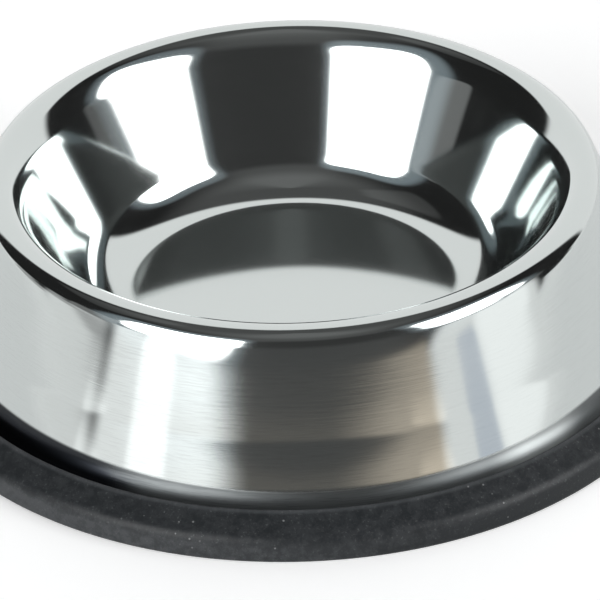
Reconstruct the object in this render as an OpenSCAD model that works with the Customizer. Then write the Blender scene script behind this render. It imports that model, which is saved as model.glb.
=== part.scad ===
// Low, non-tip cat bowl.
// One pressing of thin steel sheet makes the floor, wall, rim, skirt and flange.
// A moulded rubber ring grips the flange and is what the bowl stands on.

/* [Dish] */
// Height from the table to the top of the rim
bowl_h = 36.5; // [30:0.5:44]
// Diameter of the flat floor
floor_d = 61.5; // [52:0.5:70]
// Height of the floor's upper face above the table
floor_z = 7.4; // [4:0.1:11]
// Inside radius where the floor turns up into the wall
floor_fillet_r = 12; // [8:0.5:14]
// Thickness of the steel sheet
sheet_t = 0.6; // [0.4:0.05:0.9]

/* [Rim] */
// Diameter of the rim along its crest
rim_d = 111; // [104:0.5:118]
// Outside radius of the rolled rim
rim_r = 3.6; // [2.8:0.1:4.6]
// Radius of the wider shoulder between the roll and the wall
shoulder_r = 14; // [8:0.5:18]
// Turn of the roll from the crest to the shoulder, in degrees
roll_turn = 45; // [25:1:50]

/* [Skirt and flange] */
// Diameter of the flange's trimmed edge
flange_d = 150.4; // [142:0.2:160]
// Height of the flange's upper edge above the table
flange_z = 4.5; // [3.5:0.1:6]
// Slope of the flange below the level, in degrees
flange_slope = 34; // [24:1:42]
// Width of the flange along its slope
flange_w = 5.4; // [4:0.1:6.5]
// Radius of the flare between the skirt and the flange
flare_r = 5; // [3:0.5:8]

/* [Rubber ring] */
// Rubber outside the flange's trimmed edge, measured at the table
ring_wall = 2.3; // [1.8:0.1:4]
// Width of the ring's foot on the table
ring_w = 9.5; // [8:0.1:12]
// Thickness of the lip over the flange
lip_t = 0.9; // [0.6:0.05:1.4]
// Strip of flange left bare inside the lip
lip_reveal = 0.6; // [0.3:0.1:1.5]
// Lean of the ring's side, in degrees
side_lean = 9; // [3:1:14]
// Radius of the ring's shoulder
ring_shoulder_r = 1.8; // [1:0.1:2.4]
// Radius of the ring's base and inner edges
ring_edge_r = 0.8; // [0.4:0.1:1.2]
// Radius of the lip's edge
lip_edge_r = 0.3; // [0.1:0.05:0.35]
// Clearance between the groove and the flange
seat_gap = 0.1; // [0.05:0.05:0.2]

/* [Hidden] */
// Degrees between the points of an arc
arc_step = 5;
$fn = 180;

function along(angle) = [cos(angle), sin(angle)];

// Points of an arc, in the section's plane
function arc(centre, radius, from, to) =
    let (steps = max(2, ceil(abs(to - from) / arc_step)))
    [for (i = [0 : steps]) centre + radius * along(from + (to - from) * i / steps)];

// Lean of the line that touches two circles and passes between them
function crossing_lean(from, to, radii) = let (run = to - from) asin(radii / norm(run));
function bearing(run) = atan2(run[1], run[0]);

// Where the line through p along u meets the line through q along v
function meet(p, u, q, v) = p + u * cross(q - p, v) / cross(u, v);

// An outline whose corners have the radii given, with arcs that touch both sides
function rounded(corners, radii) = [
    for (i = [0 : len(corners) - 1])
        let (
            corner = corners[i],
            before = corners[(i + len(corners) - 1) % len(corners)] - corner,
            after = corners[(i + 1) % len(corners)] - corner,
            u = before / norm(before),
            v = after / norm(after),
            half = acos(u * v) / 2,
            centre = corner + (u + v) / norm(u + v) * radii[i] / sin(half),
            start = bearing(corner + u * radii[i] / tan(half) - centre),
            end = bearing(corner + v * radii[i] / tan(half) - centre),
            turn = (end - start + 540) % 360 - 180
        )
        each radii[i] > 0 ? arc(centre, radii[i], start, start + turn) : [corner]
];

// A place on the flange: in from its trimmed edge along the slope, and up from its upper face
function on_flange(inward, up) =
    [flange_d / 2, flange_z] - inward * along(-flange_slope) + up * along(90 - flange_slope);

// Centres of the arcs in the steel's section
fillet_c = [floor_d / 2, floor_z + floor_fillet_r];
rim_c = [rim_d / 2, bowl_h - rim_r];
roll_end = 90 + roll_turn;
shoulder_c = rim_c - (shoulder_r - rim_r) * along(roll_end);
flare_c = on_flange(flange_w, flare_r);

// Bearings of the normals to the straight wall and to the straight skirt
wall_normal = 90 + bearing(shoulder_c - fillet_c)
    + crossing_lean(fillet_c, shoulder_c, floor_fillet_r + shoulder_r);
skirt_normal = 90 + bearing(flare_c - rim_c) - crossing_lean(rim_c, flare_c, rim_r + flare_r);

// One face of the sheet, from the axis out to the trimmed edge, at a depth below the polished face
function sheet_face(depth) = concat(
    [[0, floor_z - depth]],
    arc(fillet_c, floor_fillet_r + depth, 270, wall_normal + 180),
    arc(shoulder_c, shoulder_r - depth, wall_normal, roll_end),
    arc(rim_c, rim_r - depth, roll_end, skirt_normal),
    arc(flare_c, flare_r + depth, skirt_normal + 180, 270 - flange_slope),
    [on_flange(0, -depth)]
);

function reversed(points) = [for (i = [len(points) - 1 : -1 : 0]) points[i]];

// The pressed sheet, one skin from the floor to the flange
module steel_bowl() {
    color("silver")
        rotate_extrude()
            polygon(concat(sheet_face(sheet_t), reversed(sheet_face(0))));
}

ring_r = flange_d / 2 + ring_wall;
ring_side_top = meet([ring_r, 0], along(90 + side_lean), on_flange(0, lip_t), along(-flange_slope));
ledge = on_flange(flange_w, -sheet_t - seat_gap);

// The ring's section: base, side, sloping top, lip, groove for the flange, and inner ledge
ring_corners = [
    [ring_r - ring_w, 0],
    [ring_r, 0],
    ring_side_top,
    on_flange(flange_w - lip_reveal, lip_t),
    on_flange(flange_w - lip_reveal, seat_gap),
    on_flange(-seat_gap, seat_gap),
    on_flange(-seat_gap, -sheet_t - seat_gap),
    ledge,
    [ring_r - ring_w, ledge[1]]
];
ring_radii = [ring_edge_r, ring_edge_r, ring_shoulder_r, lip_edge_r, lip_edge_r, 0, 0, 0, ring_edge_r];

// The moulded ring, gripping the flange
module rubber_ring() {
    color("#2d2f32")
        rotate_extrude()
            polygon(rounded(ring_corners, ring_radii));
}

steel_bowl();
rubber_ring();
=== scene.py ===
import math

import bpy
import numpy as np
from mathutils import Matrix, Vector


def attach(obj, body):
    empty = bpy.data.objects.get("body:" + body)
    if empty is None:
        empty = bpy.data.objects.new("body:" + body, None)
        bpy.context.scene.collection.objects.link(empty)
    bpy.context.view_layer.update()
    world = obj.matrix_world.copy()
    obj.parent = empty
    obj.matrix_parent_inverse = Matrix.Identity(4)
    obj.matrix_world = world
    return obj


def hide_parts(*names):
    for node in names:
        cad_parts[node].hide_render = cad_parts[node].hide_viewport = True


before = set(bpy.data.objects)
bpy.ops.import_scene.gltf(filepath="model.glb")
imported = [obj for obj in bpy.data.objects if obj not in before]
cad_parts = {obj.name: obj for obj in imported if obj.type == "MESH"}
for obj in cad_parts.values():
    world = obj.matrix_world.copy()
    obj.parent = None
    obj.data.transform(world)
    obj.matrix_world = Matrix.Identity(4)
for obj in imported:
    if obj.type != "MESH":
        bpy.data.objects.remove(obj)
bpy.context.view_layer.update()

# Pressed bowl: a round blank of thin stainless sheet, deep-drawn into floor, wall, rolled rim,
# skirt and sloping flange in one skin. It is buffed to a mirror while it turns, which leaves
# fine marks round the axis, and its trimmed edge is hidden in the rubber ring.
MM = 0.001
BOWL_H, SHEET_T = 36.5, 0.6
FLOOR_R, FLOOR_Z, FILLET_R = 30.75, 7.4, 12.0
RIM_CREST_R, RIM_R, SHOULDER_R, ROLL_TURN = 55.5, 3.6, 14.0, 45.0
FLANGE_R, FLANGE_Z, FLANGE_SLOPE, FLANGE_W, FLARE_R = 75.2, 4.5, 34.0, 5.4, 5.0

# How finely it is cut: spokes round the axis, rings on the skirt, degrees between the rings of a
# curve and of the shoulder, millimetres between those of a straight, the widths of the floor's rings
# from its edge inwards, and the places of the flange's rings as shares of its width.
SPOKES, SKIRT_RINGS = 256, 48
CURVE_STEP, SHOULDER_STEP, STRAIGHT_STEP = 2.5, 1.5, 1.5
FLOOR_RINGS = (0.3, 0.9, 2.3, 5.5, 7.5, 7, 5.2)
FLANGE_RINGS = (0.66, 0.33, 0)
SMOOTH_BELOW = math.radians(35)


def along(angle):
    return Vector((math.cos(math.radians(angle)), math.sin(math.radians(angle))))


def bearing(run):
    return math.degrees(math.atan2(run.y, run.x))


def arc(centre, radius, start, end, step=CURVE_STEP):
    turns = max(2, math.ceil(abs(end - start) / step))
    return [centre + radius * along(start + (end - start) * i / turns) for i in range(turns + 1)]


def straight(start, end, step=STRAIGHT_STEP):
    """Points between two places of a section, without its ends."""
    parts = max(2, math.ceil((end - start).length / step))
    return [start.lerp(end, i / parts) for i in range(1, parts)]


def on_flange(inward, up):
    """A place in from the flange's trimmed edge along its slope, and up from its upper face."""
    return Vector((FLANGE_R, FLANGE_Z)) - inward * along(-FLANGE_SLOPE) + up * along(90 - FLANGE_SLOPE)


fillet_c = Vector((FLOOR_R, FLOOR_Z + FILLET_R))
rim_c = Vector((RIM_CREST_R, BOWL_H - RIM_R))
roll_end = 90 + ROLL_TURN
shoulder_c = rim_c - (SHOULDER_R - RIM_R) * along(roll_end)
flare_c = on_flange(FLANGE_W, FLARE_R)
wall_run, skirt_run = shoulder_c - fillet_c, flare_c - rim_c
wall_normal = 90 + bearing(wall_run) + math.degrees(math.asin((FILLET_R + SHOULDER_R) / wall_run.length))
skirt_normal = 90 + bearing(skirt_run) - math.degrees(math.asin((RIM_R + FLARE_R) / skirt_run.length))

fillet = arc(fillet_c, FILLET_R, 270, wall_normal + 180)
shoulder = arc(shoulder_c, SHOULDER_R, wall_normal, roll_end, SHOULDER_STEP)
wall = straight(fillet[-1], shoulder[0])
roll = arc(rim_c, RIM_R, roll_end, skirt_normal)
flare = arc(flare_c, FLARE_R, skirt_normal + 180, 270 - FLANGE_SLOPE)
flange = [on_flange(FLANGE_W * share, 0) for share in FLANGE_RINGS]

# The skirt is not quite straight. Drawing left it a hair rounded under the rim, and in two faint
# swells that meet at a line round it: its face leans up or down by the degrees given at each height.
SKIRT_LEANS = (
    (9.7, -0.3),
    (14, 0.25),
    (17.3, 0.5),
    (18.6, -0.75),
    (20.5, -0.5),
    (24, -0.1),
    (30.3, 0.0),
    (34.3, 1.8),
)
skirt_top, skirt_foot = roll[-1], flare[0]
shares = np.linspace(0, 1, SKIRT_RINGS + 1)
leans = np.interp(skirt_top.y + shares * (skirt_foot.y - skirt_top.y), *zip(*SKIRT_LEANS))
swell = np.cumsum(np.radians(leans)) * (skirt_foot - skirt_top).length / SKIRT_RINGS
swell -= shares * swell[-1]
skirt_out = along(skirt_normal)
skirt = [skirt_top.lerp(skirt_foot, share) + skirt_out * out for share, out in zip(shares, swell)]

bowl_section = fillet + wall + shoulder + roll[1:-1] + skirt + flare[1:] + flange


def draw_out(section):
    """Extrudes the selected loop of edges through the points of a section, one ring a point."""
    for last, point in zip(section, section[1:]):
        rise = (0, 0, (point.y - last.y) * MM)
        widening = point.x / last.x
        bpy.ops.mesh.extrude_edges_move(TRANSFORM_OT_translate={"value": rise})
        bpy.ops.transform.resize(value=(widening, widening, 1), center_override=(0, 0, point.y * MM))


bpy.ops.object.select_all(action="DESELECT")
bpy.ops.mesh.primitive_circle_add(
    vertices=SPOKES, radius=FLOOR_R * MM, fill_type="NGON", location=(0, 0, FLOOR_Z * MM)
)
bowl = bpy.context.object
bowl.name = bowl.data.name = "pressed_bowl"
bpy.ops.object.transform_apply()
bpy.ops.object.mode_set(mode="EDIT")
bpy.ops.mesh.select_mode(type="FACE")
bpy.ops.mesh.select_all(action="SELECT")
for width in FLOOR_RINGS:
    bpy.ops.mesh.inset(thickness=width * MM)
bpy.ops.mesh.poke()
bpy.ops.mesh.select_all(action="SELECT")
bpy.ops.mesh.region_to_loop()
draw_out(bowl_section)
bpy.ops.object.mode_set(mode="OBJECT")

# Each point keeps the length of sheet from the middle of the floor to it, which the marks follow.
floor_points = [Vector((FLOOR_R - inset, FLOOR_Z)) for inset in np.cumsum(FLOOR_RINGS)]
outline = [Vector((0, FLOOR_Z))] + floor_points[::-1] + bowl_section
lengths = np.cumsum([0] + [(there - here).length for here, there in zip(outline, outline[1:])])
places = np.array([vertex.co for vertex in bowl.data.vertices]) / MM
turned = np.column_stack([np.hypot(places[:, 0], places[:, 1]), places[:, 2]])
nearest = ((turned[:, None] - np.array(outline)[None]) ** 2).sum(2).argmin(1)
drawn_length = bowl.data.attributes.new("drawn_length", "FLOAT", "POINT")
drawn_length.data.foreach_set("value", lengths[nearest].astype(np.float32))

sheet = bowl.modifiers.new("sheet", "SOLIDIFY")
sheet.thickness, sheet.offset = SHEET_T * MM, -1
sheet.use_even_offset = sheet.use_quality_normals = True
bpy.ops.object.modifier_apply(modifier=sheet.name)
bpy.ops.object.shade_smooth_by_angle(angle=SMOOTH_BELOW)


class Finish:
    """A value on its way through a material's nodes, so that a finish is written as sums."""

    def __init__(self, tree, socket=None):
        self.tree, self.socket = tree, socket

    def node(self, kind, settings=None, sockets=None, out=0):
        """Adds a node by its type, its settings, and the values or links of its sockets."""
        made = self.tree.nodes.new(kind)
        for name, value in (settings or {}).items():
            setattr(made, name, value)
        for name, value in (sockets or {}).items():
            if isinstance(value, Finish):
                value.into(made, name)
            else:
                made.inputs[name].default_value = value
        return Finish(self.tree, made.outputs[out] if made.outputs else None)

    def into(self, node, name):
        self.tree.links.new(self.socket, node.inputs[name])

    def maths(self, operation, *values):
        return self.node("ShaderNodeMath", {"operation": operation}, dict(enumerate(values)))

    def __add__(self, other):
        return self.maths("ADD", self, other)

    def __sub__(self, other):
        return self.maths("SUBTRACT", self, other)

    def __rsub__(self, other):
        return self.maths("SUBTRACT", other, self)

    def __mul__(self, other):
        return self.maths("MULTIPLY", self, other)

    __radd__, __rmul__ = __add__, __mul__

    def between(self, low, high):
        """0 up to low, 1 from high, and smooth between them."""
        return self.node(
            "ShaderNodeMapRange", {"interpolation_type": "SMOOTHSTEP"}, {0: self, 1: low, 2: high}
        )

    def mix(self, low, high):
        """The colour low where this value is 0, high where it is 1, and a mix between them."""
        colours = {"Factor": self, "A": low, "B": high}
        return self.node("ShaderNodeMix", {"data_type": "RGBA"}, colours, out="Result")

    def axis(self, letter):
        return self.node("ShaderNodeSeparateXYZ", sockets={0: self}, out=letter)

    def noise(self, scale, detail, roughness=0.5):
        sockets = {"Vector": self, "Scale": scale, "Detail": detail, "Roughness": roughness}
        return self.node("ShaderNodeTexNoise", sockets=sockets)

    def bump(self):
        """Relief of this height, in millimetres."""
        return self.node("ShaderNodeBump", sockets={"Strength": 1.0, "Distance": MM, "Height": self})


def new_finish(piece, name):
    """A material on a piece with only its Principled shader, and a Finish to build on."""
    material = bpy.data.materials.new(name)
    material.use_nodes = True
    piece.data.materials.append(material)
    return material.node_tree.nodes["Principled BSDF"], Finish(material.node_tree)


steel, blank = new_finish(bowl, "buffed_steel")
drawn_mm = blank.node("ShaderNodeAttribute", {"attribute_name": "drawn_length"}, out="Fac")
spot = blank.node("ShaderNodeTexCoord", out="Object")
spot_x, spot_y = spot.axis("X"), spot.axis("Y")
facing_up = blank.node("ShaderNodeTexCoord", out="Normal").axis("Z")
underside = 1 - facing_up.between(-0.1, 0.1)


def round_marks(length, width, detail):
    """Noise drawn out round the axis: marks about so long and so wide, in mm."""
    per_length = 1 / length / MM
    stretched = {0: spot_x * per_length, 1: spot_y * per_length, 2: drawn_mm * (1 / width)}
    return blank.node("ShaderNodeCombineXYZ", sockets=stretched).noise(1.0, detail, 0.55)


# The skirt below the rim was brushed rather than buffed, down to the draw line. Fine scratches
# run round it, most of them in front. Each pair of numbers is where a change starts and is complete.
BRUSHING_STARTS, BRUSHING_ENDS, SCRATCHES_START = (77.7, 82.7), (90.2, 93.2), (74, 80)
SCRATCHES_MIDDLE, SCRATCHES_THIN_OUT, SCRATCH_DEPTH = -6 * MM, (23 * MM, 36 * MM), 0.1
brushed = drawn_mm.between(*BRUSHING_STARTS) * (1 - drawn_mm.between(*BRUSHING_ENDS))
brush_lines = round_marks(length=14, width=0.25, detail=3.0)
hairs = round_marks(length=5, width=0.22, detail=2.0)
ripple = round_marks(length=26, width=17, detail=0.0)
off_middle = blank.maths("ABSOLUTE", spot_x - SCRATCHES_MIDDLE)
fewer = 0.75 * off_middle.between(*SCRATCHES_THIN_OUT)
scratched = hairs.between(0.45, 0.7) * drawn_mm.between(*SCRATCHES_START) * (1 - fewer)

# Painted shade: the corner over the flange, by the ring, is darkened in colour and made duller.
# The shade goes further up at the two sides, is darkest at the left and lighter at one place.
SHADE_STARTS, SHADE_DEEPENS = (101.7, 102.4), (102.1, 104.9)
SHADE_DEPTH, LEFT_SHADE_DEPTH, SHADE_LIFTED, FOOT_SHADE_DEPTH = 0.8, 0.16, 0.25, 0.06
SIDE_R, SHADE_RISE, SHADE_TILT = 60 * MM, 1.62, 0.54
LEFT_ENDS = (-38 * MM, -26 * MM)
LIGHTER_SHADE_STARTS, LIGHTER_SHADE_ENDS = (34 * MM, 42 * MM), (47 * MM, 53 * MM)
side = spot_x * (1 / SIDE_R)
shade_edge_mm = drawn_mm + side * (side * SHADE_RISE - SHADE_TILT)
painted_shade_dull_corner = shade_edge_mm.between(*SHADE_STARTS)
at_left = 1 - spot_x.between(*LEFT_ENDS)
lighter_shade = spot_x.between(*LIGHTER_SHADE_STARTS) * (1 - spot_x.between(*LIGHTER_SHADE_ENDS))
painted_shade_depth = painted_shade_dull_corner * (SHADE_DEPTH + LEFT_SHADE_DEPTH * at_left - SHADE_LIFTED * lighter_shade)
painted_shade_depth = painted_shade_depth + FOOT_SHADE_DEPTH * shade_edge_mm.between(*SHADE_DEEPENS)

# The second steel colour is the dark of the painted shade in the corner, and of the scratches.
STEEL_BRIGHT, STEEL_SHADE_AND_SCRATCHES = (0.59, 0.625, 0.615, 1), (0.02, 0.022, 0.026, 1)
MIRROR_ROUGH, BRUSHED_ROUGH, DULL_CORNER_ROUGH, UNDERSIDE_ROUGH = 0.07, 0.02, 0.31, 0.3
HAZE, HAIR_HAZE, HAZE_ROUGH = 0.05, 0.4, 0.28
RIPPLE_H, BUFFED_H, BRUSHED_H = 0.03, 0.0006, 0.0018
painted_shade_and_scratches = painted_shade_depth + SCRATCH_DEPTH * scratched * (1 - 0.6 * painted_shade_dull_corner)
rough = MIRROR_ROUGH + BRUSHED_ROUGH * brushed + UNDERSIDE_ROUGH * underside
rough = rough + DULL_CORNER_ROUGH * painted_shade_dull_corner * (1 - 0.5 * at_left)
haze = (HAZE + HAIR_HAZE * hairs.between(0.45, 0.75)) * (1 - painted_shade_dull_corner)
relief = ripple * RIPPLE_H + brush_lines * (BUFFED_H + BRUSHED_H * brushed)
steel.inputs["Metallic"].default_value = 1
steel.inputs["Coat Roughness"].default_value = HAZE_ROUGH
painted_shade_and_scratches.mix(STEEL_BRIGHT, STEEL_SHADE_AND_SCRATCHES).into(steel, "Base Color")
rough.into(steel, "Roughness")
haze.into(steel, "Coat Weight")
relief.bump().into(steel, "Normal")

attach(bowl, "root")
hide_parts("steel_bowl")

# Rubber ring: one moulded ring of black rubber, stretched over the flange so that its groove
# grips the trimmed edge. Its lip lies on the flange, and its flat base is what the bowl stands on.
RING_WALL, RING_W, SIDE_LEAN = 2.3, 9.5, 9.0
LIP_T, LIP_REVEAL, LIP_EDGE_R = 0.9, 0.6, 0.3
RING_SHOULDER_R, RING_EDGE_R, SEAT_GAP = 3.0, 0.8, 0.1
ROUNDING_STEP, SIDE_STEP, LONG_SIDE, MERGE_WITHIN = 9, 0.6, 0.8, 0.01


def across(u, v):
    return u.x * v.y - u.y * v.x


def rounded(corners, radii, step):
    """A closed outline whose corners have the radii given."""
    points = []
    for i, (corner, radius) in enumerate(zip(corners, radii)):
        u = (corners[i - 1] - corner).normalized()
        v = (corners[(i + 1) % len(corners)] - corner).normalized()
        half = u.angle(v) / 2
        if radius:
            centre = corner + (u + v).normalized() * radius / math.sin(half)
            start = bearing(corner + u * radius / math.tan(half) - centre)
            end = bearing(corner + v * radius / math.tan(half) - centre)
            points += arc(centre, radius, start, start + (end - start + 540) % 360 - 180, step)
        else:
            points.append(corner)
    return points


ring_r = FLANGE_R + RING_WALL
side_foot, side_up = Vector((ring_r, 0)), along(90 + SIDE_LEAN)
top_edge, top_down = on_flange(0, LIP_T), along(-FLANGE_SLOPE)
side_top = side_foot + side_up * across(top_edge - side_foot, top_down) / across(side_up, top_down)
ledge = on_flange(FLANGE_W, -SHEET_T - SEAT_GAP)
ring_corners = [
    Vector((ring_r - RING_W, 0)),
    side_foot,
    side_top,
    on_flange(FLANGE_W - LIP_REVEAL, LIP_T),
    on_flange(FLANGE_W - LIP_REVEAL, SEAT_GAP),
    on_flange(-SEAT_GAP, SEAT_GAP),
    on_flange(-SEAT_GAP, -SHEET_T - SEAT_GAP),
    ledge,
    Vector((ring_r - RING_W, ledge.y)),
]
ring_radii = [RING_EDGE_R, RING_EDGE_R, RING_SHOULDER_R, LIP_EDGE_R, LIP_EDGE_R, 0, 0, 0, RING_EDGE_R]
bare = rounded(ring_corners, ring_radii, ROUNDING_STEP)
ring_section = []
for here, there in zip(bare, bare[1:] + bare[:1]):
    ring_section.append(here)
    if (there - here).length > LONG_SIDE:
        ring_section += straight(here, there, SIDE_STEP)

ring_start = ring_section[0] * MM
bpy.ops.object.select_all(action="DESELECT")
bpy.ops.mesh.primitive_circle_add(
    vertices=SPOKES, radius=ring_start.x, fill_type="NOTHING", location=(0, 0, ring_start.y)
)
ring = bpy.context.object
ring.name = ring.data.name = "moulded_ring"
bpy.ops.object.transform_apply()
bpy.ops.object.mode_set(mode="EDIT")
bpy.ops.mesh.select_mode(type="EDGE")
bpy.ops.mesh.select_all(action="SELECT")
draw_out(ring_section + ring_section[:1])
bpy.ops.mesh.select_all(action="SELECT")
bpy.ops.mesh.remove_doubles(threshold=MERGE_WITHIN * MM)
bpy.ops.mesh.normals_make_consistent(inside=False)
bpy.ops.object.mode_set(mode="OBJECT")
bpy.ops.object.shade_smooth_by_angle(angle=SMOOTH_BELOW)

rubber, blank = new_finish(ring, "moulded_rubber")
spot = blank.node("ShaderNodeTexCoord", out="Object")
spot_x, spot_y, spot_z = spot.axis("X"), spot.axis("Y"), spot.axis("Z")
mottle = spot.noise(scale=0.45 / MM, detail=5.0, roughness=0.75)
grain = spot.noise(scale=2.2 / MM, detail=2.0, roughness=0.6)
sprinkle = spot.noise(scale=0.09 / MM, detail=0.0)
speck = blank.node("ShaderNodeTexVoronoi", sockets={"Vector": spot, "Scale": 0.42 / MM}, out="Distance")

# Painted light: the lower side is painted paler than the top, most at the left, where light falls,
# and darker at the right. The lip's edge is paler: wear and a painted highlight. Dust lies on all of it.
LIT_SIDE_ENDS, LIP_EDGE_ENDS = (2.6 * MM, 4.6 * MM), (72.1 * MM, 72.7 * MM)
SIDE_LIGHT_IN_FRONT, SIDE_LIGHT_TO_LEFT = 0.25, 14
MOTTLE_WEAR, LIP_WEAR_AND_HIGHLIGHT, SPECK_DUST, GRAIN_DUST = 0.17, 0.6, 0.5, 0.1
RUBBER_BLACK, RUBBER_WORN_AND_LIT = (0.014, 0.0165, 0.0185, 1), (0.062, 0.066, 0.07, 1)
DUST_GREY = (0.35, 0.35, 0.35, 1)
RUBBER_ROUGH, MOTTLE_ROUGH, RUBBER_SHINE = 0.32, 0.2, 0.3
GRAIN_H, MOTTLE_H = 0.02, 0.05
shade = 0.1 + 1.6 * mottle.between(0.38, 0.62)
# Painted light on the lower side: paler towards the left, darker at the right.
painted_side_light = (1 - spot_z.between(*LIT_SIDE_ENDS)) * (SIDE_LIGHT_IN_FRONT - SIDE_LIGHT_TO_LEFT * spot_x)
out_from_axis = blank.maths("SQRT", spot_x * spot_x + spot_y * spot_y)
# The lip's edge is paler: partly wear, partly a painted highlight.
lip_edge = 1 - out_from_axis.between(*LIP_EDGE_ENDS)
# The pale rubber colour carries the mottled wear, the painted light on the side, and the lip's wear and
# painted highlight.
wear_and_painted_light = MOTTLE_WEAR * shade + painted_side_light * (0.7 + 0.3 * shade) + LIP_WEAR_AND_HIGHLIGHT * lip_edge
dust = (1 - speck.between(0.05, 0.11)) * sprinkle.between(0.45, 0.65)
dusty = SPECK_DUST * dust + GRAIN_DUST * grain.between(0.55, 0.8) * shade
rubber.inputs["Specular IOR Level"].default_value = RUBBER_SHINE
dusty.mix(wear_and_painted_light.mix(RUBBER_BLACK, RUBBER_WORN_AND_LIT), DUST_GREY).into(rubber, "Base Color")
(RUBBER_ROUGH + MOTTLE_ROUGH * mottle).into(rubber, "Roughness")
(grain * GRAIN_H + mottle * MOTTLE_H).bump().into(rubber, "Normal")

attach(ring, "root")
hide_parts("rubber_ring")

# Floor: the pale, matt table top that the bowl stands on. It takes the bowl's shadow near by, and
# further off it fades into the white background.
TABLE_SIZE, TABLE_FADES = 6, (0.3, 0.9)
TABLE_PALE, WHITE = (0.85, 0.85, 0.85, 1), (1, 1, 1, 1)
SEEN_LIFT, MIRRORED_LIFT = 0.38, 0.22
bpy.ops.object.select_all(action="DESELECT")
bpy.ops.mesh.primitive_plane_add(size=TABLE_SIZE)
table = bpy.context.object
table.name = table.data.name = "table_top"
matt, blank = new_finish(table, "table_white")
matt.inputs["Base Color"].default_value = TABLE_PALE
matt.inputs["Roughness"].default_value = 1
matt.inputs["Specular IOR Level"].default_value = 0
seen = blank.node("ShaderNodeLightPath", out="Is Camera Ray")
mirrored = blank.node("ShaderNodeLightPath", out="Is Glossy Ray")
through = blank.node("ShaderNodeLightPath", out="Is Transmission Ray")
spot = blank.node("ShaderNodeTexCoord", out="Object")
away = blank.node("ShaderNodeVectorMath", {"operation": "LENGTH"}, {0: spot}, out="Value")
far_white = away.between(*TABLE_FADES) * (seen + mirrored + through)
lift = SEEN_LIFT * seen + MIRRORED_LIFT * mirrored
lifted = blank.node("ShaderNodeEmission", sockets={"Color": WHITE, "Strength": lift})
near = blank.node("ShaderNodeAddShader", sockets={0: Finish(blank.tree, matt.outputs[0]), 1: lifted})
glow = blank.node("ShaderNodeEmission", sockets={"Color": WHITE, "Strength": 1.0})
blended = blank.node("ShaderNodeMixShader", sockets={0: far_white, 1: near, 2: glow})
blended.into(blank.tree.nodes["Material Output"], "Surface")

# Studio: a white sweep behind the bowl, a dim room in front of and above it, two upright soft boxes
# beside the camera, each with a soft fringe, and low cards and boards at the sides and in front.
# The camera sees white all round.
SWEEP_LEVEL, BLUE_GAP_DROP, BLUE_GAP_LEVEL = 1.04, 0.33, 0.13
ROOM_LEVEL, FRONT_LEVEL, OVERHEAD_LEVEL, CEILING_LEVEL = 0.02, 0.07, 0.06, 0.08
WHITE_BOARD_LEVEL, WARM_BOARD_LEVEL = 1.14, 0.42
WARM, COOL, BLUE = (1, 0.84, 0.67, 1), (0.85, 1, 1.1, 1), (0.1, 0.4, 1, 1)

# A card is given by its level, the turn to its middle, half its width, the height of its middle,
# half its height and the softness of its edge. Turns go to the right, and sizes are in degrees.
SOFT_BOXES = ((5.0, -41, 22, 25.3, 15.5, 0.2), (5.0, 66, 22, 27, 15.3, 0.3))
FRINGES = ((0.26, -45.5, 28.5, 28, 21.5, 0.5), (0.19, 67, 27, 30, 21.3, 0.5))
WHITE_CARDS = (
    (0.5, -79.5, 14, 2, 6, 0.8),
    (0.45, -86, 26, -1, 4.2, 0.6),
    (0.2, -73, 10, 11, 5.5, 0.4),
    (0.4, -65, 4, -1.5, 4.5, 0.8),
    (0.55, -46, 6, 4, 6, 0.9),
    (1, 67, 23.4, 3, 7, 0.4),
    (0.33, 74, 12, 4, 4.5, 0.7),
    (0.12, 86, 9, 10.5, 4, 0.7),
)
WARM_CARDS = ((0.35, 40, 6, 2, 4.8, 0.7), (0.07, 0, 40, 2.5, 6.5, 0.4))
CEILING_CARDS = ((0.05, -103, 22, 58, 13, 0.7),)

world = bpy.data.worlds.new("studio")
bpy.context.scene.world = world
world.use_nodes = True
world.node_tree.nodes.clear()
sky = Finish(world.node_tree)
way = sky.node("ShaderNodeTexCoord", out="Generated")
way_x, way_y, way_z = way.axis("X"), way.axis("Y"), way.axis("Z")
height = sky.maths("ARCSINE", way_z) * math.degrees(1)
turn_back = sky.maths("ARCTAN2", way_x, way_y) * math.degrees(1)
turn_front = sky.maths("ARCTAN2", way_x, 0 - way_y) * math.degrees(1)


def panel(turn, mid, half, mid_up, half_up, edge, squareness=4):
    """An oblong with round corners in the studio, in degrees about its middle: 1 in it, 0 outside."""
    sides = sky.maths("POWER", sky.maths("ABSOLUTE", (turn - mid) * (1 / half)), squareness)
    ends = sky.maths("POWER", sky.maths("ABSOLUTE", (height - mid_up) * (1 / half_up)), squareness)
    return 1 - (sides + ends).between(1 - edge, 1 + edge)


def lit(cards):
    return sum(level * panel(turn_front, *place) for level, *place in cards)


def board(starts, ends, top):
    """A low board in front, by where its left edge, its right edge and its top fade, in degrees."""
    return turn_front.between(*starts) * (1 - turn_front.between(*ends)) * (1 - height.between(*top))


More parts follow.
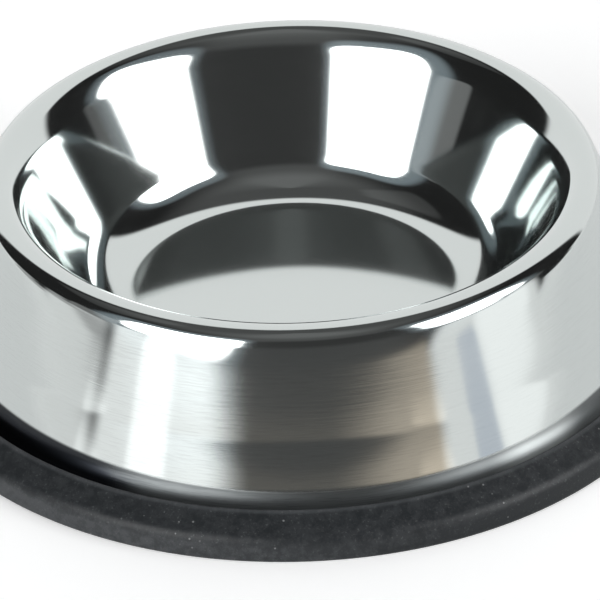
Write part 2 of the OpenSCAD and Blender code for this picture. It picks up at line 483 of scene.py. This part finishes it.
sweep = panel(turn_back, mid=5, half=56.5, mid_up=4.3, half_up=62.3, edge=0.12, squareness=3)
blue_gap = panel(turn_front, mid=57.7, half=4.2, mid_up=2, half_up=4.4, edge=0.7)
white_board = WHITE_BOARD_LEVEL * board(starts=(-65.5, -60.8), ends=(-29, -14), top=(8.6, 9.6))
warm_board = WARM_BOARD_LEVEL * board(starts=(8, 34), ends=(42, 46), top=(8.2, 9.5))

off_front = sky.maths("ABSOLUTE", turn_front - 5)
front_wall = FRONT_LEVEL * (1 - off_front.between(25, 50)) * (1 - 0.55 * height.between(11, 22))
overhead = OVERHEAD_LEVEL * (1 - off_front.between(10, 100)) * height.between(36, 48)
ceiling = CEILING_LEVEL * height.between(48, 70) + lit(CEILING_CARDS)
room = ROOM_LEVEL + front_wall + overhead + ceiling

seen = sky.node("ShaderNodeLightPath", out="Is Camera Ray")
white = room + (SWEEP_LEVEL - room) * sweep + lit(SOFT_BOXES + WHITE_CARDS) + white_board
white = (white - BLUE_GAP_DROP * blue_gap) * (1 - seen) + seen
backdrop = sky.node("ShaderNodeBackground", sockets={"Color": WHITE, "Strength": white})
tints = ((WARM, warm_board + lit(WARM_CARDS)), (COOL, lit(FRINGES)), (BLUE, BLUE_GAP_LEVEL * blue_gap))
for colour, level in tints:
    tint = sky.node("ShaderNodeBackground", sockets={"Color": colour, "Strength": level * (1 - seen)})
    backdrop = sky.node("ShaderNodeAddShader", sockets={0: backdrop, 1: tint})
sky.node("ShaderNodeOutputWorld", sockets={"Surface": backdrop})

# Camera: a long lens in front of the bowl and above it, framed so tightly that the bowl's sides
# are cut off.
CAMERA_AT = (0, -0.66099, 0.43613)
CAMERA_TURNS = ((-0.0880, "Z"), (56.9398, "X"), (-1.6150, "Z"))
LENS, SENSOR_W, NEAREST = 243.9, 36, 0.01
lens = bpy.data.cameras.new("camera")
lens.lens, lens.sensor_width, lens.clip_start = LENS, SENSOR_W, NEAREST
camera = bpy.data.objects.new("camera", lens)
bpy.context.scene.collection.objects.link(camera)
aim = Matrix.Identity(3)
for angle, axis in CAMERA_TURNS:
    aim = aim @ Matrix.Rotation(math.radians(angle), 3, axis)
camera.location, camera.rotation_euler = CAMERA_AT, aim.to_euler()
bpy.context.scene.camera = camera
bpy.context.scene.view_settings.view_transform = "Standard"
